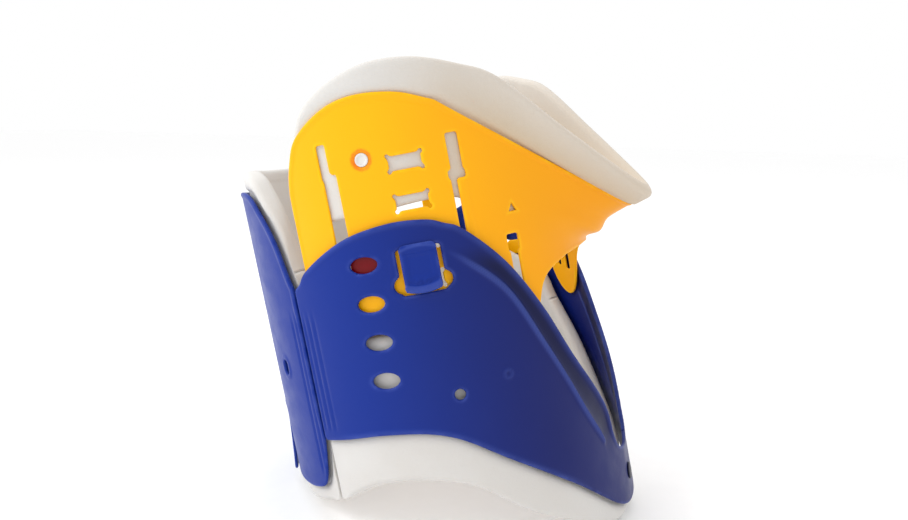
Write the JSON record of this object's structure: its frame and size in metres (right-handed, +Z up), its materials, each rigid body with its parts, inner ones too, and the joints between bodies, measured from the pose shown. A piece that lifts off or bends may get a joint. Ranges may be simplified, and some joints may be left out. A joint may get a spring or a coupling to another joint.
{
  "type": "cervical collar",
  "caption": "Adjustable extrication cervical collar: hinged foam-lined shells round the neck, a sliding chin piece with side latches, and a hook-and-loop closure.",
  "frame": {"origin": "centre of the bounding box at the surface the collar stands on", "axes": "+Z up, -Y the way the wearer faces, -X the wearer's right; the neck axis leans back 13 degrees from +Z, as the collar stands"},
  "size_m": [0.169, 0.2036, 0.211],
  "materials": {
    "shell_blue": "satin moulded polyethylene",
    "chin_yellow": "satin moulded polyethylene",
    "foam_white": "closed-cell foam, smooth skin",
    "dot_red": "printed marker",
    "plug_white": "nylon push rivet",
    "rivet_dark": "nylon rivet head",
    "strap_black": "brushed loop tape",
    "hook_black": "moulded hook tape"
  },
  "bodies": {
    "front_body": {"front_shell": "shell_blue", "front_foam": "foam_white", "front_rivet": "rivet_dark", "hook_patch": "hook_black"},
    "rear_body": {"rear_shell": "shell_blue", "rear_foam": "foam_white", "loop_strap": "strap_black", "strap_rivets": "rivet_dark"},
    "chin_body": {"chin_piece": "chin_yellow", "chin_foam": "foam_white", "chin_rivets": "plug_white", "right_size_dot": "dot_red", "left_size_dot": "dot_red"},
    "right_latch_body": {"right_latch": "shell_blue"},
    "left_latch_body": {"left_latch": "shell_blue"}
  },
  "joints": [
    {"name": "chin_height", "type": "slide", "parent": "front_body", "child": "chin_body", "axis": [0, 0.225, 0.9744], "range_m": [-0.0495, 0]},
    {"name": "rear_opening_hinge", "type": "hinge", "parent": "front_body", "child": "rear_body", "pos_m": [-0.07745, 0.03762, 0.0878], "axis": [0, 0.225, 0.9744], "range_deg": [0, 70]},
    {"name": "right_latch_hinge", "type": "hinge", "parent": "front_body", "child": "right_latch_body", "pos_m": [-0.08012, -0.01551, 0.13599], "axis": [-0.3387, 0.9168, -0.2117], "range_deg": [0, 25]},
    {"name": "left_latch_hinge", "type": "hinge", "parent": "front_body", "child": "left_latch_body", "pos_m": [0.07832, -0.01551, 0.13599], "axis": [-0.3387, -0.9168, 0.2117], "range_deg": [0, 25]}
  ]
}
